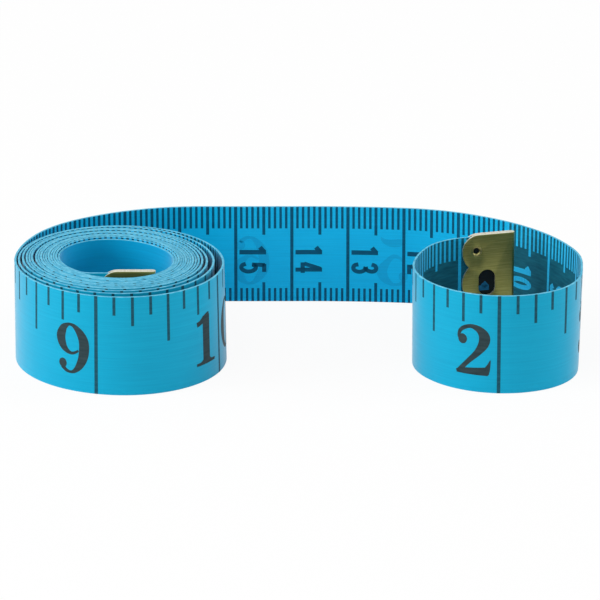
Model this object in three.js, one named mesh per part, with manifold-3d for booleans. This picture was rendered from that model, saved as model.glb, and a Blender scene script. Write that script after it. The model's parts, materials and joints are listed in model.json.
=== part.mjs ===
// A sewing tape measure standing on its edge, half unrolled.
// One coated tape is wound into a roll at one end and curls into an open loop at the other.
// Each end of the tape is clamped in a folded brass tip, held by two hollow rivets.
// The tape flexes, so its free length is cut into stretches that turn where they meet.
import * as THREE from "three";
import { mergeVertices } from "three/addons/utils/BufferGeometryUtils.js";
import Module from "manifold-3d";

const wasm = await Module();
wasm.setup();

// Driving dimensions, in millimetres and degrees.
const tapeWidth = 18;
const tapeThickness = 0.4;
const flexGap = 0.35;

const rollTurns = 9;
const turnGap = 0.45;
const boreRadius = 10.2;
const looseness = 3;
const outOfRound = 0.3;
const runLeavesAt = 147;
const innerEndLeavesAt = 225;
const innerRise = 0.4;
const risingTurns = 2;
const innerBendLength = 5;
const innerTipClearance = 0.3;

const tipLength = 9.6;
const tipProud = 0.4;
const brassThickness = 0.3;
const crimpGap = 0.1;
const lobeCount = 3;
const notchDepth = 1.2;
const slotWidth = 3;
const slotHeight = 4.8;
const slotFromEnd = 5.1;
const rivetFromEnd = 7;
const rivetBore = 1;
const rivetWall = 0.15;
const rivetFlare = 0.25;
const rivetClearance = 0.05;
const rivetSetback = 0.02;

// Stretches of free tape, from the roll to the zero end.
// Each bend is a length along the tape and the angle it turns through, clockwise below zero.
const bendLength = 2;
const rollSideRunBends = [[6 * bendLength, -21.7], [12 * bendLength, -41], [9 * bendLength, -1.4]];
const loopSideRunBends = [
  [9 * bendLength, -1.4],
  [11 * bendLength, -35.2],
  [8 * bendLength, -32.6],
  [3 * bendLength, -14.1],
];
const loopFrontBends = [
  [3 * bendLength, -14.1],
  [6 * bendLength, -49.9],
  [6 * bendLength, -51.8],
  [6 * bendLength, -38.2],
  [3 * bendLength, -27],
];
const zeroEndBends = [
  [bendLength, -9],
  [4.2 * bendLength, -23],
  [4 * bendLength, -47],
  [tipLength, 0],
];

// Facet sizes.
const stepsPerTurn = 40;
const routeStep = 1.6;
const roundSegments = 20;
const arcSegments = 10;

// Sizes that follow from them.
const turnPitch = tapeThickness + turnGap;
const foldInside = tapeThickness / 2 + crimpGap;
const foldOutside = foldInside + brassThickness;
const lobeHeight = tapeWidth / lobeCount;
const tipReach = tipLength - foldOutside;
const through = 4 * foldOutside;

const radians = THREE.MathUtils.degToRad;
const fullTurn = 2 * Math.PI;
const windingAngle = rollTurns * fullTurn + radians(innerEndLeavesAt - runLeavesAt);

// Materials.
function coatedTape() {
  return new THREE.MeshStandardMaterial({ color: 0x1aa3dc, roughness: 0.45, metalness: 0 });
}

function brass() {
  return new THREE.MeshStandardMaterial({ color: 0x9c8a45, roughness: 0.35, metalness: 1 });
}

// Booleans on closed meshes.
function toSolid(geometry) {
  const bare = geometry.clone();
  bare.deleteAttribute("normal");
  bare.deleteAttribute("uv");
  const merged = mergeVertices(bare);
  return new wasm.Manifold(new wasm.Mesh({
    numProp: 3,
    vertProperties: new Float32Array(merged.attributes.position.array),
    triVerts: new Uint32Array(merged.index.array),
  }));
}

function toGeometry(solid) {
  const mesh = solid.getMesh();
  const geometry = new THREE.BufferGeometry();
  geometry.setAttribute("position", new THREE.BufferAttribute(mesh.vertProperties, 3));
  geometry.setIndex(new THREE.BufferAttribute(mesh.triVerts, 1));
  geometry.computeVertexNormals();
  return geometry;
}

// The winding: the angle runs inwards from where the run leaves the roll.
// Each turn hangs looser on its right-hand side, half as much as the turn outside it.
function windingPoint(angle) {
  const turns = angle / fullTurn;
  const bearing = radians(runLeavesAt) + angle;
  const tight = boreRadius + turnPitch * (windingAngle - angle) / fullTurn;
  const loose = looseness * 2 ** -turns * (1 + Math.cos(bearing)) / 2;
  const radius = tight + loose - outOfRound * Math.cos(2 * bearing);
  return new THREE.Vector2(radius * Math.cos(bearing), radius * Math.sin(bearing));
}

// The innermost turns have crept up out of the roll.
function windingRise(angle) {
  const risesFrom = windingAngle - risingTurns * fullTurn;
  return innerRise * THREE.MathUtils.smoothstep(angle, risesFrom, windingAngle);
}

function windingPose(angle) {
  const small = 0.001;
  const point = windingPoint(angle);
  const heading = windingPoint(angle + small).sub(windingPoint(angle - small)).angle();
  return { x: point.x, y: point.y, heading, rise: windingRise(angle) };
}

// A route of bends from a starting pose, read at any distance along it.
function routePose(start, bends, distance) {
  const pose = { ...start };
  let left = distance;
  for (const [length, turn] of bends) {
    const part = Math.min(left, length);
    const swept = radians(turn) * part / length;
    const chord = swept === 0 ? part : 2 * (part / swept) * Math.sin(swept / 2);
    pose.x += chord * Math.cos(pose.heading + swept / 2);
    pose.y += chord * Math.sin(pose.heading + swept / 2);
    pose.heading += swept;
    left -= part;
  }
  return pose;
}

function routeLength(bends) {
  return bends.reduce((sum, [length]) => sum + length, 0);
}

function routePoses(start, bends, from, to) {
  const steps = Math.ceil((to - from) / routeStep);
  const step = (to - from) / steps;
  return Array.from({ length: steps + 1 }, (_, i) => routePose(start, bends, from + step * i));
}

// The inner end bends in until the fold of its tip lies clear of the turn around it.
function innerEndBends(start) {
  let least = 0;
  let most = 180;
  let bends;
  while (most - least > 0.001) {
    const turn = (least + most) / 2;
    bends = [[innerBendLength, turn], [tipLength, 0]];
    const fold = routePose(start, bends, innerBendLength + tipLength - foldOutside);
    const past = (Math.atan2(fold.y, fold.x) - radians(innerEndLeavesAt) + 2 * fullTurn) % fullTurn;
    const wall = windingPoint(windingAngle - fullTurn + past).length() - tapeThickness / 2;
    if (wall - foldOutside - Math.hypot(fold.x, fold.y) < innerTipClearance) {
      least = turn;
    } else {
      most = turn;
    }
  }
  return bends;
}

// A ribbon of tape on edge along a list of poses, as one closed body.
function ribbon(poses) {
  const corners = [[1, 0], [-1, 0], [-1, 1], [1, 1]];
  const positions = poses.flatMap(({ x, y, heading, rise }) => corners.flatMap(([side, up]) => [
    x - side * Math.sin(heading) * tapeThickness / 2,
    y + side * Math.cos(heading) * tapeThickness / 2,
    rise + up * tapeWidth,
  ]));
  const faces = [0, 1, 2, 0, 2, 3];
  for (let i = 0; i + 1 < poses.length; i += 1) {
    for (let k = 0; k < 4; k += 1) {
      const a = 4 * i + k;
      const b = 4 * i + (k + 1) % 4;
      faces.push(a, b + 4, b, a, a + 4, b + 4);
    }
  }
  const last = 4 * (poses.length - 1);
  faces.push(last, last + 2, last + 1, last, last + 3, last + 2);
  const geometry = new THREE.BufferGeometry();
  geometry.setAttribute("position", new THREE.Float32BufferAttribute(positions, 3));
  geometry.setIndex(faces);
  geometry.computeVertexNormals();
  return geometry;
}

// Brass tips, in their own frame: the tape's end is at x = 0 and points along +x, its face along y.
function foldedSheet() {
  const section = new THREE.Shape();
  section.moveTo(-tipReach, foldInside);
  section.lineTo(0, foldInside);
  section.absarc(0, 0, foldInside, Math.PI / 2, -Math.PI / 2, true);
  section.lineTo(-tipReach, -foldInside);
  section.lineTo(-tipReach, -foldOutside);
  section.lineTo(0, -foldOutside);
  section.absarc(0, 0, foldOutside, -Math.PI / 2, Math.PI / 2, false);
  section.lineTo(-tipReach, foldOutside);
  section.closePath();
  return new THREE.ExtrudeGeometry(section, {
    depth: tapeWidth,
    bevelEnabled: false,
    curveSegments: arcSegments,
  });
}

// A flat outline in x and z, made a block that passes through both leaves.
function throughBlock(outline) {
  const block = new THREE.ExtrudeGeometry(outline, {
    depth: through,
    bevelEnabled: false,
    curveSegments: arcSegments,
  });
  block.rotateX(Math.PI / 2);
  block.translate(0, through / 2, 0);
  return block;
}

// The leaves end in a row of round lobes, with the outer corners rounded to match.
function lobedOutline() {
  const half = lobeHeight / 2;
  const lobeRadius = (half ** 2 + notchDepth ** 2) / (2 * notchDepth);
  const lobeSweep = Math.asin(half / lobeRadius);
  const outline = new THREE.Shape();
  outline.moveTo(tipLength, tapeWidth);
  outline.lineTo(half - tipReach, tapeWidth);
  outline.absarc(half - tipReach, tapeWidth - half, half, Math.PI / 2, Math.PI, false);
  for (let lobe = 0; lobe < lobeCount; lobe += 1) {
    const first = lobe === 0 ? 0 : -lobeSweep;
    const last = lobe === lobeCount - 1 ? 0 : lobeSweep;
    const centre = tapeWidth - half - lobe * lobeHeight;
    outline.absarc(lobeRadius - tipReach, centre, lobeRadius, Math.PI + first, Math.PI + last, false);
  }
  outline.absarc(half - tipReach, half, half, Math.PI, 1.5 * Math.PI, false);
  outline.lineTo(tipLength, 0);
  outline.closePath();
  return outline;
}

function slotOutline() {
  const radius = slotWidth / 2;
  const straight = slotHeight / 2 - radius;
  const x = foldOutside - slotFromEnd;
  const outline = new THREE.Shape();
  outline.absarc(x, tapeWidth / 2 + straight, radius, 0, Math.PI, false);
  outline.absarc(x, tapeWidth / 2 - straight, radius, Math.PI, fullTurn, false);
  outline.closePath();
  return outline;
}

// Hollow rivets flare into dimples in the two leaves and finish flush with them.
const rivetPlaces = [
  { name: "upper", x: foldOutside - rivetFromEnd, z: tapeWidth - lobeHeight / 2 },
  { name: "lower", x: foldOutside - rivetFromEnd, z: lobeHeight / 2 },
];

function lathed(profile) {
  return new THREE.LatheGeometry(profile.map(([r, y]) => new THREE.Vector2(r, y)), roundSegments);
}

function rivetGeometry() {
  const bore = rivetBore / 2;
  const shank = bore + rivetWall;
  const rim = shank + rivetFlare;
  const end = foldOutside - rivetSetback;
  return lathed([
    [bore, -foldInside],
    [rim - rivetWall, -end],
    [rim, -end],
    [shank, -foldInside],
    [shank, foldInside],
    [rim, end],
    [rim - rivetWall, end],
    [bore, foldInside],
    [bore, -foldInside],
  ]);
}

function rivetHole({ x, z }) {
  const shank = rivetBore / 2 + rivetWall + rivetClearance;
  const rim = shank + rivetFlare;
  const hole = lathed([
    [0, -through],
    [rim, -through],
    [rim, -foldOutside],
    [shank, -foldInside],
    [shank, foldInside],
    [rim, foldOutside],
    [rim, through],
    [0, through],
  ]);
  hole.translate(x, 0, z);
  return hole;
}

function cutTipHoles(solid, placement) {
  const holes = [throughBlock(slotOutline()), ...rivetPlaces.map(rivetHole)];
  return holes.reduce((rest, hole) => rest.subtract(toSolid(hole.applyMatrix4(placement))), solid);
}

function tipGeometry() {
  const blank = toSolid(foldedSheet()).intersect(toSolid(throughBlock(lobedOutline())));
  return toGeometry(cutTipHoles(blank, new THREE.Matrix4()));
}

function placedTip(name, pose) {
  const tip = new THREE.Group();
  tip.position.set(pose.x, pose.y, pose.rise + tipProud);
  tip.rotation.z = pose.heading;
  const leaves = new THREE.Mesh(tipGeometry(), brass());
  leaves.name = name;
  tip.add(leaves);
  for (const place of rivetPlaces) {
    const rivet = new THREE.Mesh(rivetGeometry(), brass());
    rivet.name = `${name}_rivet_${place.name}`;
    rivet.position.set(place.x, 0, place.z);
    tip.add(rivet);
  }
  return tip;
}

function tapeMesh(name, geometry) {
  const mesh = new THREE.Mesh(geometry, coatedTape());
  mesh.name = name;
  return mesh;
}

// A stretch of tape that ends inside a tip, with the tip's slot and rivet holes through it.
// The tip is set a little high, so its top edge stands proud of the tape's.
function tippedStretch(name, tipName, start, bends) {
  const end = routePose(start, bends, routeLength(bends) - foldOutside);
  const poses = routePoses(start, bends, flexGap / 2, routeLength(bends) - foldOutside);
  const placement = new THREE.Matrix4().makeRotationZ(end.heading);
  placement.setPosition(end.x, end.y, end.rise + tipProud);
  const cut = cutTipHoles(toSolid(ribbon(poses)), placement);
  const stretch = new THREE.Group();
  stretch.add(tapeMesh(name, toGeometry(cut)), placedTip(tipName, end));
  return stretch;
}

// The roll is one unbroken strip; its least gap to itself is measured between points a turn apart.
function rollPoses() {
  const outerAngle = flexGap / 2 / windingPoint(0).length();
  const innerAngle = windingAngle - flexGap / 2 / windingPoint(windingAngle).length();
  const steps = Math.ceil((innerAngle - outerAngle) / fullTurn * stepsPerTurn);
  const step = (innerAngle - outerAngle) / steps;
  return Array.from({ length: steps + 1 }, (_, i) => windingPose(outerAngle + step * i));
}

function leastTurnGap(poses) {
  const near = Math.floor(stepsPerTurn / 2);
  let least = Infinity;
  poses.forEach((a, i) => poses.slice(i + near).forEach((b) => {
    least = Math.min(least, Math.hypot(a.x - b.x, a.y - b.y));
  }));
  return least - tapeThickness;
}

const tapeMeasure = new THREE.Group();
tapeMeasure.name = "tape_measure";

const winding = rollPoses();
console.log(`least gap between turns ${leastTurnGap(winding).toFixed(3)} mm`);
tapeMeasure.add(tapeMesh("tape_roll", ribbon(winding)));

const innerStart = windingPose(windingAngle);
tapeMeasure.add(tippedStretch("tape_inner_end", "inner_tip", innerStart, innerEndBends(innerStart)));

// The free length starts back along the winding's outer end.
const outerEnd = windingPose(0);
let stretchStart = { ...outerEnd, heading: outerEnd.heading + Math.PI };
const plainStretches = [
  ["tape_run_roll_side", rollSideRunBends],
  ["tape_run_loop_side", loopSideRunBends],
  ["tape_loop_front", loopFrontBends],
];
for (const [name, bends] of plainStretches) {
  const poses = routePoses(stretchStart, bends, flexGap / 2, routeLength(bends) - flexGap / 2);
  tapeMeasure.add(tapeMesh(name, ribbon(poses)));
  stretchStart = routePose(stretchStart, bends, routeLength(bends));
}
tapeMeasure.add(tippedStretch("tape_zero_end", "zero_tip", stretchStart, zeroEndBends));

// The origin is the middle of the footprint, on the surface that the tape stands on.
const box = new THREE.Box3().setFromObject(tapeMeasure, true);
const middle = box.getCenter(new THREE.Vector3());
tapeMeasure.position.set(-middle.x, -middle.y, -box.min.z);

export default tapeMeasure;
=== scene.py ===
import bisect
import json
import math

import bmesh
import bpy
from mathutils import Matrix, Vector


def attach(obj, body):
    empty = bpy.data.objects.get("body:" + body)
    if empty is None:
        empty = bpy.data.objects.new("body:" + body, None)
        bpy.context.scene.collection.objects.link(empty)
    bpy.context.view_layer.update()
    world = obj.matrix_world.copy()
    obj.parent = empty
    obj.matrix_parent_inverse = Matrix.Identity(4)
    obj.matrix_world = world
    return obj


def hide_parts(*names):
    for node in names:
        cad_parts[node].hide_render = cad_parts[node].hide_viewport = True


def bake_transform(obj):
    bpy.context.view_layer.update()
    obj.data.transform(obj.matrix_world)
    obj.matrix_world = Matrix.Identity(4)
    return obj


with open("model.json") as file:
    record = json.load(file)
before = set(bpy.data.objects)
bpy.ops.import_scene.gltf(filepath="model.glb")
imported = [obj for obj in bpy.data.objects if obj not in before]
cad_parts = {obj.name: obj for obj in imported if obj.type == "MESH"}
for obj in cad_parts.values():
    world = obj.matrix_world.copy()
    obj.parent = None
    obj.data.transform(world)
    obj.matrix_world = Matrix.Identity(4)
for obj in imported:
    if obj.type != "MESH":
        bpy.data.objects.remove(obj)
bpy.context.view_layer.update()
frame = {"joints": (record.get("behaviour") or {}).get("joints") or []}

# The view
# The tape measure is seen from a little above the table, square to its straight run, through a long lens.
# Nothing in it is out of focus.
view_target = Vector((0.0003, 0.0233, 0))
view_elevation = math.radians(20.67)
view_distance = 1.213
view_lens_mm = 406.7
sensor_mm = 36

view = bpy.data.cameras.new("view")
view.sensor_width = sensor_mm
view.lens = view_lens_mm
eye = bpy.data.objects.new("view", view)
away = Vector((0, -math.cos(view_elevation), math.sin(view_elevation)))
eye.location = view_target + view_distance * away
eye.rotation_euler = (math.pi / 2 - view_elevation, 0, 0)
bpy.context.scene.collection.objects.link(eye)
bpy.context.scene.camera = eye

# The tape's route
# One strip of coated glass-fibre cloth stands on its edge: its long end is wound up by hand, a straight run
# crosses behind, and the zero end curls into an open loop. Distances along it start at the zero end.
mm = 0.001
tape_width = 18
tape_thickness = 0.38
tip_length = 9.6

# Bends of the free length, from the roll to the zero end: a length, and the angle that it turns through.
leaving_shift = Vector((-0.2, 0.38))
leaving_heading = math.radians(67.31)
free_bends = [
    (12, -31.69), (24, -35.87), (18, 0.58),
    (18, -6.17), (22, -34.35), (16, -28.47), (6, -21.42),
    (6, -5.42), (12, -57.94), (12, -45.87), (12, -42.46), (6, -24.84),
    (2, -9), (8.4, -23), (8, -47), (tip_length, 0),
]
free_length = sum(length for length, turn in free_bends)
hinge_distance = {"peel_flex": 192, "run_flex": 138, "loop_flex": 76, "zero_end_flex": 28}

# The roll: its turns hang loose to the front and the right, and the outermost one lifts off where the run
# leaves it. A few have slipped apart on the left and at the back, and towards the bore they go out of round.
turns = 15 + 78 / 360
leaves_at = math.radians(147)
bore_radius = 9.66
tight_pitch = 0.41
slack_depth = 0.34
left_slack = 1.2
left_gaps = [(0.6, -0.08), (1.6, 0.16), (2.6, 0.12), (5.6, 0.25)]
left_even_share = 0.55
back_gaps = [(1.34, 0.35), (5.34, 0.25), (8.34, 0.2), (11.34, 0.2)]
gap_opens_over = 0.6
looseness = 4.89
looseness_kept = 0.523
loose_towards = math.radians(-39)
lift_off = 0.84
lift_off_turns = 0.082
outer_oval, outer_oval_axis = 0.5, math.radians(36.6)
inner_oval, inner_oval_axis = 0.67, math.radians(53.4)
inner_drift = Vector((0.07, -0.905))
inwards_power = 0.64
tangent_step = 0.001

# The turns stand at slightly uneven heights, and those around the innermost one have crept up behind the
# bore. That creep and the unevenness each come in over one range of turns and go out over another.
crept_inside = 0.25
crept_behind = 0.3
crept_in = (turns - 6, turns - 2)
crept_out = (turns - 1.2, turns - 0.5)
uneven = 0.06
uneven_swing = 4.1
uneven_in = (0.2, 1.5)
uneven_out = (turns - 2.5, turns - 1.5)

# The loop stands out a little at its upper edge, and the outermost turn of the roll at its lower one.
# Each lean comes in over one range of distances and goes out over another.
loop_lean = 0.5
loop_lean_in = (52, 70)
loop_lean_out = (84, 106)
roll_lean = -0.36
roll_lean_in = (200, 222)
roll_lean_out = (300, 324)

joint_at = {joint["name"]: Vector(joint["pos_m"]) / mm for joint in frame["joints"]}


def smoothstep(value, low, high):
    share = min(max((value - low) / (high - low), 0), 1)
    return share * share * (3 - 2 * share)


def eased_between(value, coming_in, going_out):
    """Rises from zero to one over the first range, and falls back to zero over the second."""
    return smoothstep(value, *coming_in) - smoothstep(value, *going_out)


def gap_share(turn, gaps):
    half = gap_opens_over / 2
    return sum(share * smoothstep(turn, at - half, at + half) for at, share in gaps)


def winding_offset(turn):
    bearing = leaves_at + 2 * math.pi * turn
    inwards = (turn / turns) ** inwards_power if turn > 0 else 0
    left = max(-math.cos(bearing), 0) ** 2
    behind = max(math.sin(bearing), 0) ** 2
    left_taken = gap_share(turn, left_gaps) + left_even_share * turn / turns
    slack = behind * (1 - gap_share(turn, back_gaps)) + (1 - left - behind) * (1 - turn / turns)
    loose = looseness * looseness_kept ** turn * (1 + math.cos(bearing - loose_towards)) / 2
    lifted = lift_off * max(1 - turn / lift_off_turns, 0) ** 2
    oval_axis = outer_oval_axis + (inner_oval_axis - outer_oval_axis) * inwards
    oval = (outer_oval + (inner_oval - outer_oval) * inwards) * math.cos(2 * (bearing - oval_axis))
    radius = bore_radius + tight_pitch * (turns - turn)
    radius += left_slack * left * (1 - left_taken)
    radius += slack_depth * slack
    radius += loose + lifted - oval
    return radius * Vector((math.cos(bearing), math.sin(bearing))) + inner_drift * inwards


run_start = joint_at["peel_flex"].xy + leaving_shift
roll_centre = run_start - winding_offset(0)
steps_in_turn = 180
winding_turns = [i / steps_in_turn for i in range(math.floor(turns * steps_in_turn) + 1)] + [turns]
winding_points = [winding_offset(turn) for turn in winding_turns]
winding_distances = [free_length]
for before, after in zip(winding_points, winding_points[1:]):
    winding_distances.append(winding_distances[-1] + (after - before).length)
wound_end = winding_distances[-1]

# The inner end leaves the wall of the bore and lies straight across it.
inner_bend = 2.55
inner_straight = 1.56
inner_start = roll_centre + winding_offset(turns)
inner_ahead = winding_offset(turns) - winding_offset(turns - tangent_step)
inner_heading = math.atan2(inner_ahead.y, inner_ahead.x)
inner_bends = [(inner_bend, -math.degrees(inner_heading)), (inner_straight, 0), (tip_length, 0)]
tape_end = wound_end + sum(length for length, turn in inner_bends)


def after_bends(start, heading, bends, distance):
    """Where a distance through a row of bends leads, and the heading there."""
    x, y = start
    for length, turn in bends:
        part = min(distance, length)
        swept = math.radians(turn) * part / length
        chord = part if swept == 0 else 2 * part / swept * math.sin(swept / 2)
        x += chord * math.cos(heading + swept / 2)
        y += chord * math.sin(heading + swept / 2)
        heading += swept
        distance -= part
    return x, y, heading


def turn_rise(turn):
    behind = (1 + math.sin(leaves_at + 2 * math.pi * turn)) / 2
    crept = eased_between(turn, crept_in, crept_out)
    settled = eased_between(turn, uneven_in, uneven_out)
    return (
        crept_inside * turn / turns + crept_behind * behind * crept
        + uneven * settled * (1 + math.sin(uneven_swing * turn))
    )


def tape_pose(distance):
    """The tape's middle at a distance from the zero end, its heading away from that end, and its rise."""
    if distance <= free_length:
        x, y, heading = after_bends(run_start, leaving_heading, free_bends, free_length - distance)
        return x, y, heading + math.pi, 0
    if distance >= wound_end:
        x, y, heading = after_bends(inner_start, inner_heading, inner_bends, distance - wound_end)
        return x, y, heading, turn_rise(turns)
    i = bisect.bisect_right(winding_distances, distance) - 1
    part = (distance - winding_distances[i]) / (winding_distances[i + 1] - winding_distances[i])
    turn = winding_turns[i] + part * (winding_turns[i + 1] - winding_turns[i])
    x, y = roll_centre + winding_offset(turn)
    ahead = winding_offset(turn + tangent_step) - winding_offset(turn - tangent_step)
    return x, y, math.atan2(ahead.y, ahead.x), turn_rise(turn)


def outward_lean(distance):
    """How far the tape's upper edge stands out beyond its lower one."""
    round_loop = eased_between(distance, loop_lean_in, loop_lean_out)
    round_roll = eased_between(distance, roll_lean_in, roll_lean_out)
    return loop_lean * round_loop + roll_lean * round_roll


def bend_along_route(bm):
    """Puts a flat drawing, in millimetres, in place: x along the tape, y up it, z out of its inch face."""
    poses = {}
    for vert in bm.verts:
        distance, height, out = vert.co
        key = round(distance, 4)
        if key not in poses:
            poses[key] = tape_pose(distance)
        x, y, heading, rise = poses[key]
        out += outward_lean(distance) * (height / tape_width - 0.5)
        vert.co = Vector((x + out * math.sin(heading), y - out * math.cos(heading), rise + height)) * mm


# The tape
# Woven glass fibre in a soft PVC coating, slit from a wider web, so its edges are square and paler than its
# faces. It is whole behind the slots of its brass tips, and its innermost turn has painted shade: a deeper
# blue.
# It is cut here only where one bending stretch meets the next, and the cuts lie face to face.
edge_rounding = 0.09
bend_step = 0.6
fold_outside = 0.6
tolerance = 0.01
facing_out = 0.95
# The last stretch of the tape, round the bore, carries painted shade.
bore_shade_length = 82
bore_shade_from = tape_end - bore_shade_length
tape_cuts = {"loop": 52, "run": 107, "peel": 165, "roll": 200, "inner": wound_end - 8}
inch_coat = {"deep": "#009ABF", "plain": "#009EC3", "pale": "#04A3C7"}
centimetre_coat = {"deep": "#00AFE3", "plain": "#00B4E8", "pale": "#04B9EC"}
# A deeper coat for the innermost turn: painted shade inside the bore.
bore_shade_coat = {"deep": "#009ACC", "plain": "#009FD1", "pale": "#00A4D6"}
cut_edge_blue = "#42A6C8"
cut_edge_pale = "#6AC3DE"
inch_slot, centimetre_slot, edge_slot, bore_shade_slot = range(4)


def linear(colour):
    """A #RRGGBB colour in sRGB as a linear RGBA tuple."""
    channels = [int(colour[i:i + 2], 16) / 255 for i in (1, 3, 5)]
    return tuple(c / 12.92 if c <= 0.04045 else ((c + 0.055) / 1.055) ** 2.4 for c in channels) + (1,)


def add_node(tree, kind, settings=None, stops=(), **inputs):
    """Adds a node with its settings, the places and colours of a ramp's stops, and its values or links."""
    made = tree.nodes.new(kind)
    for name, value in (settings or {}).items():
        setattr(made, name, value)
    for i, (place, colour) in enumerate(stops):
        elements = made.color_ramp.elements
        stop = elements[i] if i < len(elements) else elements.new(place)
        stop.position = place
        stop.color = linear(colour)
    for name, value in inputs.items():
        socket = made.inputs[int(name[1:])] if name[1:].isdigit() else made.inputs[name.replace("_", " ")]
        if isinstance(value, bpy.types.NodeSocket):
            tree.links.new(value, socket)
        else:
            socket.default_value = value
    return made


def new_material(name):
    material = bpy.data.materials.new(name)
    material.use_nodes = True
    tree = material.node_tree
    return material, tree, tree.nodes["Principled BSDF"]


def coated_glass_cloth(name, coat):
    """Calendered PVC over glass cloth: a soft sheen, faintly streaked where lengthwise yarns show through."""
    material, tree, surface = new_material(name)
    yarn_length_mm = 12
    yarn_spacing_mm = 0.3
    yarn_relief_mm = 0.04
    cloud_mm = 25 / 3
    stops = [(0.3, coat["deep"]), (0.5, coat["plain"]), (0.72, coat["pale"])]
    flat = add_node(tree, "ShaderNodeTexCoord").outputs["UV"]
    streaks = add_node(
        tree, "ShaderNodeMapping", Vector=flat, Scale=(1 / yarn_length_mm, 1 / yarn_spacing_mm, 1),
    )
    yarn = add_node(
        tree, "ShaderNodeTexNoise", Vector=streaks.outputs["Vector"], Scale=1, Detail=2, Roughness=0.6,
    )
    colour = add_node(tree, "ShaderNodeValToRGB", stops=stops, Fac=yarn.outputs["Fac"])
    tree.links.new(colour.outputs["Color"], surface.inputs["Base Color"])
    clouds = add_node(tree, "ShaderNodeTexNoise", Vector=flat, Scale=1 / cloud_mm, Detail=1)
    sheen = add_node(tree, "ShaderNodeMapRange", Value=clouds.outputs["Fac"], To_Min=0.36, To_Max=0.46)
    tree.links.new(sheen.outputs["Result"], surface.inputs["Roughness"])
    bump = add_node(
        tree, "ShaderNodeBump", Height=yarn.outputs["Fac"], Strength=0.045, Distance=yarn_relief_mm * mm,
    )
    tree.links.new(bump.outputs["Normal"], surface.inputs["Normal"])
    surface.inputs["Specular IOR Level"].default_value = 0.14
    surface.inputs["Sheen Weight"].default_value = 0.45
    surface.inputs["Sheen Roughness"].default_value = 0.35
    return material


def slit_edge():
    """The tape's slit edge: matt, paler than the coat, and faintly flecked where the blade cut the yarns."""
    material, tree, surface = new_material("slit_edge_of_glass_cloth")
    fleck_mm = 0.8
    stops = [(0.3, cut_edge_blue), (0.75, cut_edge_pale)]
    flat = add_node(tree, "ShaderNodeTexCoord").outputs["UV"]
    flecks = add_node(tree, "ShaderNodeTexNoise", Vector=flat, Scale=1 / fleck_mm, Detail=1)
    colour = add_node(tree, "ShaderNodeValToRGB", stops=stops, Fac=flecks.outputs["Fac"])
    tree.links.new(colour.outputs["Color"], surface.inputs["Base Color"])
    surface.inputs["Roughness"].default_value = 0.6
    surface.inputs["Specular IOR Level"].default_value = 0.3
    return material


def finished_piece(name, bm, materials, sharp_degrees):
    mesh = bpy.data.meshes.new(name)
    bm.to_mesh(mesh)
    bm.free()
    for material in materials:
        mesh.materials.append(material)
    mesh.shade_smooth()
    mesh.set_sharp_from_angle(angle=math.radians(sharp_degrees))
    piece = bpy.data.objects.new(name, mesh)
    bpy.context.scene.collection.objects.link(piece)
    return piece


def keep_flat_places(bm):
    """Keeps each corner's place on the flat tape, in millimetres, as the UV map that the patterns follow."""
    flat = bm.loops.layers.uv.new("flat")
    for face in bm.faces:
        for loop in face.loops:
            loop[flat].uv = loop.vert.co.xy


def draw_block(bm, low_x, high_x, low_y, high_y, rows=1):
    cells = math.ceil((high_x - low_x) / bend_step)
    place = Matrix.Translation(((low_x + high_x) / 2, (low_y + high_y) / 2, 0))
    size = Matrix.Diagonal((high_x - low_x, high_y - low_y, 1, 1))
    bmesh.ops.create_grid(bm, x_segments=cells, y_segments=rows, size=0.5, matrix=place @ size)


def round_edges(bm, edges, radius):
    bmesh.ops.bevel(
        bm, geom=edges, offset=radius, offset_type="OFFSET", affect="EDGES", segments=2, profile=0.5,
        material=-1, clamp_overlap=True,
    )


def flat_strip(start, end):
    """A length of tape, drawn flat with rounded edges. Its faces and its edges have their own materials."""
    bm = bmesh.new()
    draw_block(bm, start, end, 0, tape_width, rows=2)
    bmesh.ops.translate(bm, verts=bm.verts[:], vec=(0, 0, tape_thickness / 2))
    bmesh.ops.solidify(bm, geom=bm.faces[:], thickness=tape_thickness)
    corners = [
        edge for edge in bm.edges
        if abs(edge.verts[0].co.x - edge.verts[1].co.x) > tolerance
        and all(abs(vert.co.y - tape_width / 2) > tape_width / 2 - tolerance for vert in edge.verts)
    ]
    round_edges(bm, corners, edge_rounding)
    bm.normal_update()
    for face in bm.faces:
        if abs(face.normal.z) < facing_out:
            face.material_index = edge_slot
        elif face.normal.z > 0:
            face.material_index = inch_slot
        # Painted shade: the centimetre face of the innermost turn takes the deeper coat.
        elif face.calc_center_median().x > bore_shade_from:
            face.material_index = bore_shade_slot
        else:
            face.material_index = centimetre_slot
    keep_flat_places(bm)
    return bm


tape_materials = [
    coated_glass_cloth("pvc_coated_glass_cloth_inch_face", inch_coat),
    coated_glass_cloth("pvc_coated_glass_cloth_centimetre_face", centimetre_coat),
    slit_edge(),
    # The deeper coat of the innermost turn is painted shade of the bore.
    coated_glass_cloth("pvc_coated_glass_cloth_painted_bore_shade", bore_shade_coat),
]


def follow_tape(piece, joint_name):
    """Works out the tape's heading at a joint, which nothing uses, and bakes the piece's transform into its
    mesh.
    """
    if joint_name == "inner_end_flex":
        heading = inner_heading
    else:
        heading = tape_pose(hinge_distance[joint_name])[2] + math.pi
    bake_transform(piece)


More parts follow.
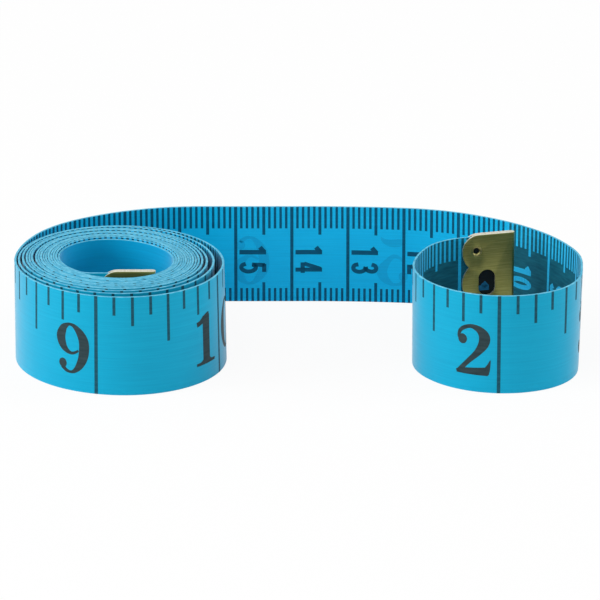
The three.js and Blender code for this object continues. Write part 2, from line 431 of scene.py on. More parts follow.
tape_stretches = [
    ("tape_at_inner_end", tape_cuts["inner"], tape_end - fold_outside, "inner_end_flex", 3, "tape_inner_end"),
    ("tape_in_roll", tape_cuts["roll"], tape_cuts["inner"], None, 0, "tape_roll"),
    ("tape_leaving_roll", tape_cuts["peel"], tape_cuts["roll"], "peel_flex", 7, "tape_run_roll_side"),
    ("tape_of_run", tape_cuts["run"], tape_cuts["peel"], "run_flex", 12, "tape_run_loop_side"),
    ("tape_of_loop", tape_cuts["loop"], tape_cuts["run"], "loop_flex", 8, "tape_loop_front"),
    ("tape_at_zero_end", fold_outside, tape_cuts["loop"], "zero_end_flex", 6, "tape_zero_end"),
]
for name, start, end, joint_name, reach, node in tape_stretches:
    strip = flat_strip(start, end)
    bend_along_route(strip)
    piece = finished_piece(name, strip, tape_materials, sharp_degrees=20)
    if joint_name:
        follow_tape(piece, joint_name)
    else:
        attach(piece, "roll")
    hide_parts(node)

# The brass tips
# A strip of thin brass is folded over each end of the tape and pressed shut, set a little high on it.
# Each leaf ends in three round lobes, and a round-ended slot for a pin or a hook goes through both leaves.
tip_proud = 0.4
slot_width = 3
slot_height = 4.8
slot_from_end = 5.1
rivet_from_end = 7
rivet_heights = (3.4, 15.4)
brass_thickness = 0.4
lobe_half = 3
lobe_radius = 4.35
lobe_sweep = 43.6
rivet_seat_radius = 0.92
slot_steps = 24
rivet_hole_steps = 20
corner_steps = 8
lobe_steps = 8
fold_steps = 12
merge_distance = 0.001
sharp_corner = math.radians(60)
leaf_facing = 0.7
# How squarely a face of the fold must point at the tape's end to take the painted highlight.
fold_highlight_facing = 0.8
brass_edge_rounding = 0.06
pressed_from = tape_width + 0.1
pressed_share = 0.1
brass_deep = "#72733E"
brass_plain = "#85864B"
brass_pale = "#9F9D62"
# Pale metal for the sheared edges, partly rubbed bright and partly painted highlight, and for the fold's
# painted highlight.
brass_sheared_and_highlight = "#C9C6B0"
brass_worn_and_highlight = "#E2E0D2"
tip_bodies = {"zero_tip": "zero_end", "inner_tip": "inner_end"}


def brushed_brass():
    """Rolled brass sheet: an olive-yellow metal, dulled in use, with brush lines that run along the tape."""
    material, tree, surface = new_material("brushed_brass_sheet")
    line_length_mm = 6
    line_spacing_mm = 0.12
    line_relief_mm = 0.02
    stops = [(0.3, brass_deep), (0.5, brass_plain), (0.75, brass_pale)]
    flat = add_node(tree, "ShaderNodeTexCoord").outputs["UV"]
    lines = add_node(
        tree, "ShaderNodeMapping", Vector=flat, Scale=(1 / line_length_mm, 1 / line_spacing_mm, 1),
    )
    brush = add_node(
        tree, "ShaderNodeTexNoise", Vector=lines.outputs["Vector"], Scale=1, Detail=3, Roughness=0.6,
    )
    colour = add_node(tree, "ShaderNodeValToRGB", stops=stops, Fac=brush.outputs["Fac"])
    tree.links.new(colour.outputs["Color"], surface.inputs["Base Color"])
    surface.inputs["Metallic"].default_value = 0.85
    dulled = add_node(tree, "ShaderNodeMapRange", Value=brush.outputs["Fac"], To_Min=0.32, To_Max=0.48)
    tree.links.new(dulled.outputs["Result"], surface.inputs["Roughness"])
    bump = add_node(
        tree, "ShaderNodeBump", Height=brush.outputs["Fac"], Strength=0.15, Distance=line_relief_mm * mm,
    )
    tree.links.new(bump.outputs["Normal"], surface.inputs["Normal"])
    return material


def sheared_brass():
    """Sheared edges, rubbed bright and with a painted highlight: paler than the faces, with fine marks of the
    shear.
    """
    material, tree, surface = new_material("sheared_edge_and_painted_highlight_of_brass")
    mark_mm = 0.5
    stops = [(0.3, brass_sheared_and_highlight), (0.7, brass_worn_and_highlight)]
    flat = add_node(tree, "ShaderNodeTexCoord").outputs["UV"]
    marks = add_node(tree, "ShaderNodeTexNoise", Vector=flat, Scale=1 / mark_mm, Detail=2)
    colour = add_node(tree, "ShaderNodeValToRGB", stops=stops, Fac=marks.outputs["Fac"])
    tree.links.new(colour.outputs["Color"], surface.inputs["Base Color"])
    surface.inputs["Metallic"].default_value = 0.7
    surface.inputs["Roughness"].default_value = 0.35
    return material


def draw_outline(bm, points):
    verts = [bm.verts.new((x, y, 0)) for x, y in points]
    for pair in zip(verts, verts[1:] + verts[:1]):
        bm.edges.new(pair)


def draw_tip_holes(bm):
    """The rims of the slot and of the two rivet holes, at their distances from the tape's end."""
    middle = tape_width / 2 + tip_proud
    radius = slot_width / 2
    place = Matrix.Translation((slot_from_end, middle, 0)) @ Matrix.Rotation(math.pi / slot_steps, 4, "Z")
    slot = bmesh.ops.create_circle(bm, cap_ends=False, segments=slot_steps, radius=radius, matrix=place)
    for vert in slot["verts"]:
        vert.co.y += math.copysign(slot_height / 2 - radius, vert.co.y - middle)
    for height in rivet_heights:
        place = Matrix.Translation((rivet_from_end, height, 0))
        bmesh.ops.create_circle(
            bm, cap_ends=False, segments=rivet_hole_steps, radius=rivet_seat_radius, matrix=place,
        )


def face_up(bm):
    bm.normal_update()
    bmesh.ops.reverse_faces(bm, faces=[face for face in bm.faces if face.normal.z < 0])


def arc(x, y, radius, first, last, steps):
    angles = [math.radians(first + (last - first) * i / steps) for i in range(steps + 1)]
    return [(x + radius * math.cos(angle), y + radius * math.sin(angle)) for angle in angles]


def leaf_outline():
    """One leaf, drawn flat: straight along the fold, with three round lobes at its far end."""
    top = tape_width + tip_proud
    corner_x = tip_length - lobe_half
    lobe_x = tip_length - lobe_radius
    low, middle, high = (tip_proud + lobe_half * count for count in (1, 3, 5))
    points = [(fold_outside, top), (fold_outside, tip_proud)]
    points += arc(corner_x, low, lobe_half, -90, 0, corner_steps)
    points += arc(lobe_x, low, lobe_radius, 0, lobe_sweep, lobe_steps // 2)[1:]
    points += arc(lobe_x, middle, lobe_radius, -lobe_sweep, lobe_sweep, lobe_steps)[1:]
    points += arc(lobe_x, high, lobe_radius, -lobe_sweep, 0, lobe_steps // 2)[1:]
    return points + arc(corner_x, high, lobe_half, 0, 90, corner_steps)[1:]


def to_inner_end(bm):
    """Turns what is drawn from the zero end to face the inner end of the tape."""
    for vert in bm.verts:
        vert.co.x = tape_end - vert.co.x
    bmesh.ops.reverse_faces(bm, faces=bm.faces[:])


def press_shut(bm):
    """Closes the two leaves on each other where they stand above the tape, by their inner faces alone."""
    everything = bm.verts[:] + bm.edges[:] + bm.faces[:]
    bmesh.ops.bisect_plane(bm, geom=everything, plane_co=(0, pressed_from, 0), plane_no=(0, 1, 0))
    past_rounding = 1.5 * brass_edge_rounding
    inner_reach = fold_outside - brass_thickness + past_rounding
    for vert in bm.verts:
        from_middle = math.hypot(min(vert.co.x - fold_outside, 0), vert.co.z)
        if vert.co.y > pressed_from + tolerance and from_middle < inner_reach:
            vert.co.z *= pressed_share


def folded_tip():
    """A leaf and its copy for the back, joined by a spun fold, then thickened, rounded and pressed shut."""
    bm = bmesh.new()
    draw_outline(bm, leaf_outline())
    draw_tip_holes(bm)
    bmesh.ops.triangle_fill(bm, edges=bm.edges[:], use_beauty=True)
    face_up(bm)
    back = bmesh.ops.duplicate(bm, geom=bm.verts[:] + bm.edges[:] + bm.faces[:])["geom"]
    back_verts = [part for part in back if isinstance(part, bmesh.types.BMVert)]
    back_faces = [part for part in back if isinstance(part, bmesh.types.BMFace)]
    bmesh.ops.reverse_faces(bm, faces=back_faces)
    for vert in bm.verts:
        vert.co.z = fold_outside
    for vert in back_verts:
        vert.co.z = -fold_outside
    crease = [
        edge for edge in bm.edges
        if all(vert.co.z > 0 and abs(vert.co.x - fold_outside) < merge_distance for vert in edge.verts)
    ]
    crease_verts = [vert for edge in crease for vert in edge.verts]
    bmesh.ops.spin(
        bm, geom=crease + crease_verts, cent=(fold_outside, 0, 0), axis=(0, 1, 0), angle=-math.pi,
        steps=fold_steps, use_duplicate=False,
    )
    bmesh.ops.remove_doubles(bm, verts=bm.verts[:], dist=merge_distance)
    bmesh.ops.recalc_face_normals(bm, faces=bm.faces[:])
    front_from = fold_outside - merge_distance
    front = next(face for face in bm.faces if all(vert.co.z > front_from for vert in face.verts))
    if front.normal.z < 0:
        bmesh.ops.reverse_faces(bm, faces=bm.faces[:])
    bm.normal_update()
    bmesh.ops.solidify(bm, geom=bm.faces[:], thickness=brass_thickness)
    bm.normal_update()
    sharp = [edge for edge in bm.edges if edge.calc_face_angle(0) > sharp_corner]
    round_edges(bm, sharp, brass_edge_rounding)
    press_shut(bm)
    bm.normal_update()
    # Sheared edges take the pale metal, partly rubbed bright and partly painted highlight; the fold's apex
    # takes it as a painted highlight.
    for face in bm.faces:
        on_leaf = face.calc_center_median().x > fold_outside + tolerance
        sheared = abs(face.normal.y) > leaf_facing or (on_leaf and abs(face.normal.z) < leaf_facing)
        painted_fold_highlight = not on_leaf and face.normal.x < -fold_highlight_facing
        face.material_index = 1 if sheared or painted_fold_highlight else 0
    return bm


brass_metals = [brushed_brass(), sheared_brass()]
for name, body in tip_bodies.items():
    tip = folded_tip()
    keep_flat_places(tip)
    if name == "inner_tip":
        to_inner_end(tip)
    bend_along_route(tip)
    piece = finished_piece(f"{name}_folded_brass", tip, brass_metals, sharp_degrees=30)
    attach(piece, body)
    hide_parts(name)

# The rivets
# Two hollow brass rivets pin each tip to the tape, one through each outer lobe.
# Each is a short tube with both ends flared into the leaves, so its mouth is a bright dish round a dark hole.
shank_radius = 0.65
rivet_bore = 0.5
rivet_rim = 0.9
rivet_steps = 28
rivet_brass = "#8F8A58"


def drawn_brass():
    """Drawn brass tube, of one colour and roughness all over."""
    material, _, surface = new_material("drawn_brass_tube")
    surface.inputs["Base Color"].default_value = linear(rivet_brass)
    surface.inputs["Metallic"].default_value = 0.9
    surface.inputs["Roughness"].default_value = 0.4
    return material


def hollow_rivet(height):
    """The tube's wall, each point its radius and its distance from the tape's middle, spun round."""
    bm = bmesh.new()
    mouth = [(rivet_bore, 0.1), (0.52, 0.32), (0.6, 0.46), (0.72, 0.54), (0.82, 0.58), (rivet_rim, 0.59)]
    seat = [(rivet_rim, 0.52), (0.76, 0.42), (shank_radius, 0.24)]
    half = mouth + seat
    profile = half + [(radius, -out) for radius, out in reversed(half)]
    verts = [bm.verts.new((radius, 0, out)) for radius, out in profile]
    edges = [bm.edges.new(pair) for pair in zip(verts, verts[1:] + verts[:1])]
    bmesh.ops.spin(
        bm, geom=verts + edges, cent=(0, 0, 0), axis=(0, 0, 1), angle=2 * math.pi, steps=rivet_steps,
        use_merge=True, use_duplicate=False,
    )
    bmesh.ops.recalc_face_normals(bm, faces=bm.faces[:])
    bmesh.ops.translate(bm, verts=bm.verts[:], vec=(rivet_from_end, height, 0))
    return bm


rivet_metal = drawn_brass()
for tip_name, body in tip_bodies.items():
    for place, height in zip(("lower", "upper"), rivet_heights):
        rivet = hollow_rivet(height)
        if tip_name == "inner_tip":
            to_inner_end(rivet)
        bend_along_route(rivet)
        piece = finished_piece(f"{tip_name}_hollow_rivet_{place}", rivet, [rivet_metal], sharp_degrees=35)
        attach(piece, body)
        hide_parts(f"{tip_name}_rivet_{place}")

# The print
# Black screen ink on both faces: inches and eighths on the outer one, centimetres and millimetres on the
# inner one. Every other ten centimetres is printed in reverse, a dark ground with the scale left bare.
# The print stops short of the inner end, and the heavy inch numerals show faintly through the tape: their
# shade is painted on the centimetre face as a deeper coat.
ink_lift = 0.012
bare_lift = 0.018
shown_lift = 0.004
ink_sunk = 0.01
print_from = 8.5
print_margin = 0.055
print_top = tape_width - print_margin
unprinted_end = 83
print_to = math.floor(tape_end - unprinted_end)
numbered_to = 330
ground_length = 100
# Up to here, under the zero tip, the ground is drawn nearly black: painted shade of the slot's recess.
slot_shade_reach = rivet_from_end + rivet_bore
numeral_under_tip = 10
inch = 25.4
inch_shift = -0.75

# Lines of the inch scale, by eighths: how far each comes down from the upper edge, and its width.
eighth_lines = {0: (tape_width, 0.6), 4: (8.6, 0.5), 2: (5.3, 0.5), 6: (5.3, 0.5)}
odd_eighth = (3.4, 0.5)

# Lines of the centimetre scale, at both edges: how far each comes down, how far up, and its width.
half_centimetre_line = (5.3, 3.65, 0.52)
millimetre_line = (4.1, 2.55, 0.43)
centimetre_line_width = 0.56

# Inks, each its deep and its pale colour, and the coats that show within the print.
# The numeral ink is a dark grey drawn lighter than that: partly its own colour, partly painted sheen.
numeral_ink = ("#243539", "#334449")
line_ink = ("#124656", "#205869")
scale_ink = ("#004C69", "#045A7B")
ground_ink = ("#084E62", "#18697D")
# A nearly black ground under the zero tip: painted shade, seen in the slot.
slot_shade_ink = ("#0C1518", "#141F22")
# The scale left bare in the ground is a paler copy of the centimetre coat: painted light, lifting it out of
# shade.
bare_coat_painted_light = {"deep": "#14AEE2", "plain": "#1EB5E9", "pale": "#2ABDEE"}
# The bare numeral seen through the slot of the zero tip is a much darker coat: painted shade of the slot's
# recess.
slot_shade_coat = {"deep": "#0F5E86", "plain": "#13678F", "pale": "#177099"}
# A deeper coat under the inch numerals of the other face: painted shade of print seen through the tape.
show_through_shade_coat = {"deep": "#00A0D4", "plain": "#00A5D8", "pale": "#00AADD"}


def screen_ink(name, ink):
    """Screen-printed black ink: a thin film that lets some blue through, mottled along the yarns."""
    material, tree, surface = new_material(name)
    mottle_length_mm = 3
    mottle_height_mm = 0.5
    stops = [(0.3, ink[0]), (0.75, ink[1])]
    flat = add_node(tree, "ShaderNodeTexCoord").outputs["UV"]
    scaled = add_node(
        tree, "ShaderNodeMapping", Vector=flat, Scale=(1 / mottle_length_mm, 1 / mottle_height_mm, 1),
    )
    mottle = add_node(tree, "ShaderNodeTexNoise", Vector=scaled.outputs["Vector"], Scale=1, Detail=2)
    colour = add_node(tree, "ShaderNodeValToRGB", stops=stops, Fac=mottle.outputs["Fac"])
    tree.links.new(colour.outputs["Color"], surface.inputs["Base Color"])
    surface.inputs["Roughness"].default_value = 0.5
    surface.inputs["Specular IOR Level"].default_value = 0.1
    return material


def pen_at(keys, share):
    """A smooth curve through the keys of a pen stroke, each its x, y and half width, at a share of it."""
    last_share = 0.9999
    span = min(share, last_share) * (len(keys) - 1)
    i = int(span)
    part = span - i
    a, b, c, d = (keys[min(max(j, 0), len(keys) - 1)] for j in (i - 1, i, i + 1, i + 2))
    return Vector(
        0.5 * (
            2 * q + (r - p) * part + (2 * p - 5 * q + 4 * r - s) * part ** 2
            + (3 * q - p - 3 * r + s) * part ** 3
        )
        for p, q, r, s in zip(a, b, c, d)
    )


def draw_stroke(bm, keys, base, right, up):
    """One pen stroke of a figure, from its base point, with its right and up directions on the tape."""
    cells_to_key = 1 if len(keys) == 2 else 5
    fewest_cells = 8
    nib_cells = 3
    look_ahead = 0.01
    cells = max(cells_to_key * (len(keys) - 1), fewest_cells)
    for vert in bmesh.ops.create_grid(bm, x_segments=cells, y_segments=nib_cells, size=0.5)["verts"]:
        share = vert.co.x + 0.5
        pen = pen_at(keys, share)
        ahead = pen_at(keys, min(share + look_ahead, 1)) - pen_at(keys, max(share - look_ahead, 0))
        across = Vector((-ahead.y, ahead.x)).normalized() * pen.z * 2 * vert.co.y
        point = pen.xy + across
        vert.co.xy = base + right * point.x + up * point.y
        vert.co.z = 0


def draw_figure(bm, strokes, base, right, up, ink_spread):
    """The strokes of one figure, each as wide as the ink has spread."""
    for keys in strokes:
        inked = [(x, y, half * ink_spread) for x, y, half in keys]
        draw_stroke(bm, inked, base, right, up)


def ring(x, y, across, up, side, cap):
    """The keys of a round stroke, with its own half width at the sides and at the top and bottom."""
    steps = 20
    around = [2 * math.pi * i / steps for i in range(steps + 1)]
    return [
        (x + across * math.cos(a), y + up * math.sin(a), cap + (side - cap) * math.cos(a) ** 2)
        for a in around
    ]


def ball(x, y, radius):
    """The keys of a round terminal, drawn as one stroke from its left to its right."""
    steps = 10
    thinnest = 0.002
    along = [math.pi * i / steps for i in range(steps + 1)]
    return [(x - radius * math.cos(a), y, max(radius * math.sin(a), thinnest)) for a in along]


# Heavy book numerals for the inches: thick sides, thin joins, round terminals and bracketed feet. Height 1.
round_width = 0.68
book_nine = [
    (0.47, 0.47, 0.02), (0.39, 0.42, 0.024), (0.31, 0.405, 0.03), (0.215, 0.45, 0.05),
    (0.135, 0.545, 0.075), (0.092, 0.705, 0.09), (0.143, 0.865, 0.07), (0.214, 0.94, 0.042),
    (0.29, 0.972, 0.026), (0.388, 0.942, 0.04), (0.50, 0.827, 0.07), (0.571, 0.684, 0.088),
    (0.586, 0.52, 0.092), (0.561, 0.337, 0.086), (0.49, 0.173, 0.066), (0.398, 0.064, 0.04),
    (0.31, 0.026, 0.025), (0.214, 0.046, 0.032), (0.125, 0.12, 0.04),
]
nine_strokes = [book_nine, ball(0.137, 0.182, 0.084)]
lower_bowl = [
    (0.44, 0.50, 0.055), (0.55, 0.31, 0.095), (0.48, 0.13, 0.07), (0.33, 0.032, 0.03), (0.19, 0.05, 0.032),
    (0.10, 0.13, 0.04),
]
book_numerals = {
    "0": (round_width, [ring(0.34, 0.5, 0.248, 0.47, 0.092, 0.03)]),
    "1": (0.54, [
        [(0.28, 0, 0.092), (0.28, 0.97, 0.092)],
        [
            (0.02, 0.83, 0.045), (0.11, 0.85, 0.045), (0.22, 0.91, 0.055), (0.33, 0.985, 0.03),
            (0.37, 1.0, 0.006),
        ],
        [
            (0.0, 0.025, 0.025), (0.12, 0.03, 0.03), (0.2, 0.05, 0.05), (0.28, 0.07, 0.07),
            (0.36, 0.05, 0.05), (0.44, 0.03, 0.03), (0.55, 0.025, 0.025),
        ],
    ]),
    "2": (0.69, [
        ball(0.125, 0.69, 0.09),
        [
            (0.045, 0.70, 0.02), (0.055, 0.80, 0.03), (0.12, 0.895, 0.036), (0.286, 0.962, 0.036),
            (0.45, 0.91, 0.062), (0.548, 0.785, 0.094), (0.54, 0.635, 0.092), (0.43, 0.455, 0.062),
            (0.255, 0.27, 0.044), (0.10, 0.10, 0.04), (0.03, 0.03, 0.03),
        ],
        [
            (0.0, 0.03, 0.03), (0.10, 0.05, 0.05), (0.316, 0.062, 0.062), (0.50, 0.072, 0.072),
            (0.62, 0.08, 0.08),
        ],
        [(0.585, 0.02, 0.05), (0.61, 0.12, 0.05), (0.645, 0.22, 0.026), (0.668, 0.31, 0.006)],
    ]),
    "3": (0.65, [
        ball(0.13, 0.77, 0.09),
        [
            (0.045, 0.79, 0.028), (0.10, 0.90, 0.034), (0.25, 0.968, 0.03), (0.41, 0.905, 0.065),
            (0.48, 0.755, 0.088), (0.41, 0.60, 0.05), (0.24, 0.535, 0.022),
        ],
        [(0.24, 0.535, 0.022)] + lower_bowl,
        ball(0.135, 0.20, 0.09),
    ]),
    "4": (0.70, [
        [(0.45, 0, 0.09), (0.45, 1, 0.09)],
        [(0.43, 0.96, 0.03), (0.03, 0.31, 0.03)],
        [(0.01, 0.275, 0.045), (0.69, 0.275, 0.045)],
        [(0.22, 0.025, 0.025), (0.68, 0.025, 0.025)],
    ]),
    "5": (0.65, [
        [
            (0.12, 0.96, 0.02), (0.20, 0.90, 0.07), (0.36, 0.88, 0.07), (0.50, 0.92, 0.045),
            (0.57, 0.995, 0.012),
        ],
        [(0.125, 0.97, 0.028), (0.125, 0.50, 0.028)],
        [(0.125, 0.50, 0.022), (0.21, 0.585, 0.03), (0.33, 0.605, 0.042)] + lower_bowl,
        ball(0.135, 0.20, 0.09),
    ]),
    "6": (round_width, [[(round_width - x, 1 - y, w) for x, y, w in keys] for keys in nine_strokes]),
    "7": (0.65, [
        [
            (0.03, 0.72, 0.012), (0.05, 0.87, 0.03), (0.15, 0.895, 0.08), (0.31, 0.87, 0.07),
            (0.46, 0.90, 0.05), (0.60, 0.98, 0.018),
        ],
        [
            (0.59, 0.97, 0.025), (0.48, 0.74, 0.035), (0.35, 0.48, 0.065), (0.285, 0.22, 0.095),
            (0.28, 0.09, 0.095),
        ],
        ball(0.28, 0.092, 0.092),
    ]),
    "8": (round_width, [
        ring(0.34, 0.745, 0.195, 0.228, 0.07, 0.028),
        ring(0.34, 0.275, 0.245, 0.248, 0.09, 0.028),
    ]),
    "9": (round_width, nine_strokes),
}

# Narrow bold numerals of one weight and width for the centimetres. Height 1.
plain_width = 0.46
bold = 0.08
stem_of_one = 0.088
plain_six = [(0.36, 0.80), (0.31, 0.89), (0.21, 0.92), (0.12, 0.80), (0.08, 0.56), (0.08, 0.32)]
plain_ring = ring(0.23, 0.30, 0.15, 0.225, bold, bold)
plain_routes = {
    "1": [[(0.27, 0), (0.27, 1)], [(0.07, 0.77), (0.25, 0.92)]],
    "2": [
        [
            (0.08, 0.72), (0.13, 0.88), (0.23, 0.93), (0.34, 0.87), (0.38, 0.71), (0.32, 0.53),
            (0.19, 0.33), (0.09, 0.12),
        ],
        [(0.04, 0.07), (0.42, 0.07)],
    ],
    "3": [
        [(0.08, 0.76), (0.13, 0.89), (0.23, 0.93), (0.33, 0.88), (0.36, 0.74), (0.30, 0.58), (0.18, 0.535)],
        [(0.18, 0.535), (0.32, 0.48), (0.38, 0.30), (0.33, 0.13), (0.23, 0.07), (0.12, 0.12), (0.08, 0.26)],
    ],
    "4": [[(0.31, 0), (0.31, 1)], [(0.28, 0.95), (0.07, 0.33)], [(0.02, 0.27), (0.44, 0.27)]],
    "5": [
        [(0.08, 0.93), (0.40, 0.93)],
        [(0.125, 0.96), (0.105, 0.47)],
        [
            (0.10, 0.50), (0.17, 0.60), (0.27, 0.60), (0.36, 0.48), (0.38, 0.28), (0.31, 0.12), (0.21, 0.07),
            (0.12, 0.12), (0.08, 0.24),
        ],
    ],
    "6": [plain_six],
    "7": [[(0.04, 0.93), (0.43, 0.93)], [(0.38, 0.88), (0.27, 0.58), (0.20, 0.28), (0.18, 0)]],
    "9": [[(plain_width - x, 1 - y) for x, y in plain_six]],
}
plain_numerals = {
    digit: [[(x, y, bold) for x, y in route] for route in routes] for digit, routes in plain_routes.items()
}
plain_numerals["0"] = [ring(0.23, 0.5, 0.15, 0.43, bold, bold)]
plain_numerals["1"] = [[(x, y, stem_of_one) for x, y in route] for route in plain_routes["1"]]
plain_numerals["6"].append(plain_ring)
plain_numerals["8"] = [ring(0.23, 0.72, 0.13, 0.21, bold, bold), ring(0.23, 0.29, 0.15, 0.22, bold, bold)]
plain_numerals["9"].append([(plain_width - x, 1 - y, w) for x, y, w in plain_ring])


def draw_inch_lines(bm, start, end):
    eighth = inch / 8
    first = math.ceil((max(start, print_from) - inch_shift) / eighth)
    last = math.floor((min(end, print_to) - inch_shift) / eighth)
    for count in range(first, last + 1):
        at = count * eighth + inch_shift
        length, width = eighth_lines.get(count % 8, odd_eighth)
        draw_block(bm, at - width / 2, at + width / 2, max(tape_width - length, print_margin), print_top)


def draw_inch_numerals(bm, start, end):
    """A number's first figure stands before its inch line, the second after it, in cells of one width."""
    numeral_height = 9.2
    numeral_base = 3.2
    line_gap = 1.3
    ink_spread = 1.1
    cell = round_width
    right = Vector((numeral_height, 0))
    up = Vector((0, numeral_height))
    for number in range(1, int(numbered_to / inch) + 1):
        line = number * inch + inch_shift
        if not start <= line < end:
            continue
        cell_starts = (line - line_gap - cell * numeral_height, line + line_gap)
        for digit, cell_start in zip(str(number), cell_starts):
            width, strokes = book_numerals[digit]
            base = Vector((cell_start + (cell - width) / 2 * numeral_height, numeral_base))
            draw_figure(bm, strokes, base, right, up, ink_spread)


def draw_centimetre_numeral(bm, at, in_reverse):
    """A number lies on its side below its line. One left bare in the ground is heavier, and sits higher."""
    numeral_height = 4.75
    numeral_gap = 0.65
    numeral_middle = 8.5 if in_reverse else 8.0
    numeral_space = 0.07 if in_reverse else 0.2
    ink_spread = 1.15 if in_reverse else 1
    right = Vector((0, -numeral_height))
    up = Vector((-numeral_height, 0))
    digits = str(at // 10)
    spread = plain_width * len(digits) + numeral_space * (len(digits) - 1)
    base = Vector((at - numeral_gap, numeral_middle + spread * numeral_height / 2))
    for digit in digits:
        draw_figure(bm, plain_numerals[digit], base, right, up, ink_spread)
        base = base + right * (plain_width + numeral_space)


def draw_centimetres(bm, start, end, in_reverse):
    first = math.ceil(max(start, print_from))
    last = math.ceil(min(end, print_to))
    for at in range(first, last):
        in_ground = int((at - 0.5) // ground_length) % 2 == 0
        if in_ground != in_reverse:
            continue
        if at % 10:
            top, bottom, width = half_centimetre_line if at % 5 == 0 else millimetre_line
            draw_block(bm, at - width / 2, at + width / 2, tape_width - top, print_top)
            draw_block(bm, at - width / 2, at + width / 2, print_margin, bottom)
            continue
        half = centimetre_line_width / 2
        draw_block(bm, at - half, at + half, print_margin, print_top)
        if numeral_under_tip < at <= numbered_to:
            draw_centimetre_numeral(bm, at, in_reverse)


def draw_ground(bm, start, end):
    for block in range(0, print_to, 2 * ground_length):
        low = max(start, block, slot_shade_reach)
        high = min(end, block + ground_length, print_to)
        if low < high:
            draw_block(bm, low, high, print_margin, print_top)


# The ground under the zero tip, in nearly black ink: painted shade of the slot's recess.
def draw_ground_under_tip(bm, start, end):
    high = min(end, slot_shade_reach)
    if start < high:
        draw_block(bm, start, high, print_margin, print_top)


def draw_numeral_under_tip(bm, start, end):
    if start < numeral_under_tip < end:
        draw_centimetre_numeral(bm, numeral_under_tip, True)


def lay_film(whole, flat, face, lift, slot):
    """Thickens a flat drawing to a film, sets it on a face of the tape and adds it to the whole print."""
    face_up(flat)
    bmesh.ops.solidify(flat, geom=flat.faces[:], thickness=lift + ink_sunk)
    top = tape_thickness / 2 + lift
    for vert in flat.verts:
        vert.co.z = face * (top + vert.co.z)
    if face < 0:
        bmesh.ops.reverse_faces(flat, faces=flat.faces[:])
    for drawn in flat.faces:
        drawn.material_index = slot
    film = bpy.data.meshes.new("film")
    flat.to_mesh(film)
    whole.from_mesh(film)
    bpy.data.meshes.remove(film)


inch_face, centimetre_face = 1, -1
numerals_in_ink = screen_ink("black_ink_of_numerals", numeral_ink)
lines_in_ink = screen_ink("black_ink_of_inch_lines", line_ink)
scale_in_ink = screen_ink("black_ink_of_scale", scale_ink)
ground_in_ink = screen_ink("black_ink_of_ground", ground_ink)
# Painted light: the bare scale is drawn paler than the centimetre coat.
scale_left_bare_painted_light = coated_glass_cloth("coat_left_bare_with_painted_light", bare_coat_painted_light)
# Painted shade where the inch numerals show through the tape.
numerals_with_painted_show_through = coated_glass_cloth("coat_with_painted_show_through_shade", show_through_shade_coat)
# Painted shade: the ground seen in the slot is drawn nearly black.
ground_with_painted_slot_shade = screen_ink("black_ink_with_painted_slot_shade", slot_shade_ink)
# Painted shade in the slot: the bare numeral under the zero tip is drawn dark.
numeral_in_painted_slot_shade = coated_glass_cloth("coat_with_painted_slot_shade", slot_shade_coat)
layers = [
    (draw_inch_numerals, (), inch_face, ink_lift, numerals_in_ink),
    (draw_inch_lines, (), inch_face, ink_lift, lines_in_ink),
    (draw_inch_numerals, (), centimetre_face, shown_lift, numerals_with_painted_show_through),
    (draw_centimetres, (False,), centimetre_face, ink_lift, scale_in_ink),
    (draw_ground, (), centimetre_face, ink_lift, ground_in_ink),
    (draw_ground_under_tip, (), centimetre_face, ink_lift, ground_with_painted_slot_shade),
    (draw_centimetres, (True,), centimetre_face, bare_lift, scale_left_bare_painted_light),
    (draw_numeral_under_tip, (), centimetre_face, bare_lift, numeral_in_painted_slot_shade),
]
print_materials = [material for *_, material in layers]
for name, start, end, joint_name, reach, _ in tape_stretches:
    whole = bmesh.new()
    for slot, (draw, more, face, lift, _) in enumerate(layers):
        flat = bmesh.new()
        draw(flat, start, end, *more)
        if flat.faces:
            lay_film(whole, flat, face, lift, slot)
        flat.free()
    if whole.faces:
        keep_flat_places(whole)
        bend_along_route(whole)
        film = finished_piece(name.replace("tape", "print"), whole, print_materials, sharp_degrees=20)
        if joint_name:
            follow_tape(film, joint_name)
        else:
            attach(film, "roll")
    else:
        whole.free()

# The table and the light
# A white table under a wide, soft light, with a white surround that the metal and the coat reflect.
table_white = "#F2F2F2"
table_size = 6
table_glow_share = 0.92
surround_light = 0.55
surround_seen = 1.0


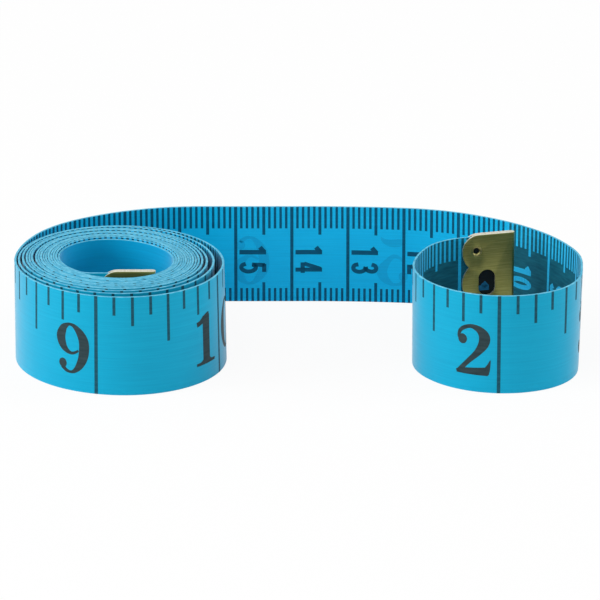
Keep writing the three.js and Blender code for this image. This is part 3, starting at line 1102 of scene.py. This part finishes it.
def seen_directly(tree):
    """One where a ray comes from the camera, a reflection or a transmission, and zero for diffuse light."""
    path = add_node(tree, "ShaderNodeLightPath")
    largest = {"operation": "MAXIMUM"}
    first = add_node(
        tree, "ShaderNodeMath", largest, _0=path.outputs["Is Camera Ray"], _1=path.outputs["Is Glossy Ray"],
    )
    both = add_node(
        tree, "ShaderNodeMath", largest, _0=first.outputs[0], _1=path.outputs["Is Transmission Ray"],
    )
    return both.outputs[0]


world = bpy.data.worlds.new("white_surround")
bpy.context.scene.world = world
world.use_nodes = True
tree = world.node_tree
tree.nodes.clear()
strength = add_node(
    tree, "ShaderNodeMapRange", Value=seen_directly(tree), To_Min=surround_light, To_Max=surround_seen,
)
surround = add_node(tree, "ShaderNodeBackground", Color=(1, 1, 1, 1), Strength=strength.outputs["Result"])
add_node(tree, "ShaderNodeOutputWorld", Surface=surround.outputs[0])

bm = bmesh.new()
bmesh.ops.create_grid(bm, x_segments=1, y_segments=1, size=table_size / 2)
material, tree, surface = new_material("matt_white_table")
tree.nodes.remove(surface)
glow_share = add_node(
    tree, "ShaderNodeMath", {"operation": "MULTIPLY"}, _0=seen_directly(tree), _1=table_glow_share,
)
matt = add_node(tree, "ShaderNodeBsdfDiffuse", Color=linear(table_white))
glow = add_node(tree, "ShaderNodeEmission", Color=(1, 1, 1, 1), Strength=1.0)
table_look = add_node(
    tree, "ShaderNodeMixShader", _0=glow_share.outputs[0], _1=matt.outputs[0], _2=glow.outputs[0],
)
tree.links.new(table_look.outputs[0], tree.nodes["Material Output"].inputs["Surface"])
table = finished_piece("table", bm, [material], sharp_degrees=30)


def soft_light(name, place, size, power):
    lamp = bpy.data.lights.new(name, "AREA")
    lamp.shape = "DISK"
    lamp.size = size
    lamp.energy = power
    made = bpy.data.objects.new(name, lamp)
    made.location = place
    made.rotation_euler = (Vector((0, 0, 0)) - Vector(place)).to_track_quat("-Z", "Y").to_euler()
    bpy.context.scene.collection.objects.link(made)


soft_light("key_light", place=(-0.4, -0.7, 1.1), size=0.9, power=5)
soft_light("left_light", place=(-1.4, -0.35, 0.5), size=0.8, power=14.5)
soft_light("right_light", place=(1.4, 0.1, 0.5), size=0.8, power=9)

bpy.context.scene.view_settings.view_transform = "Standard"
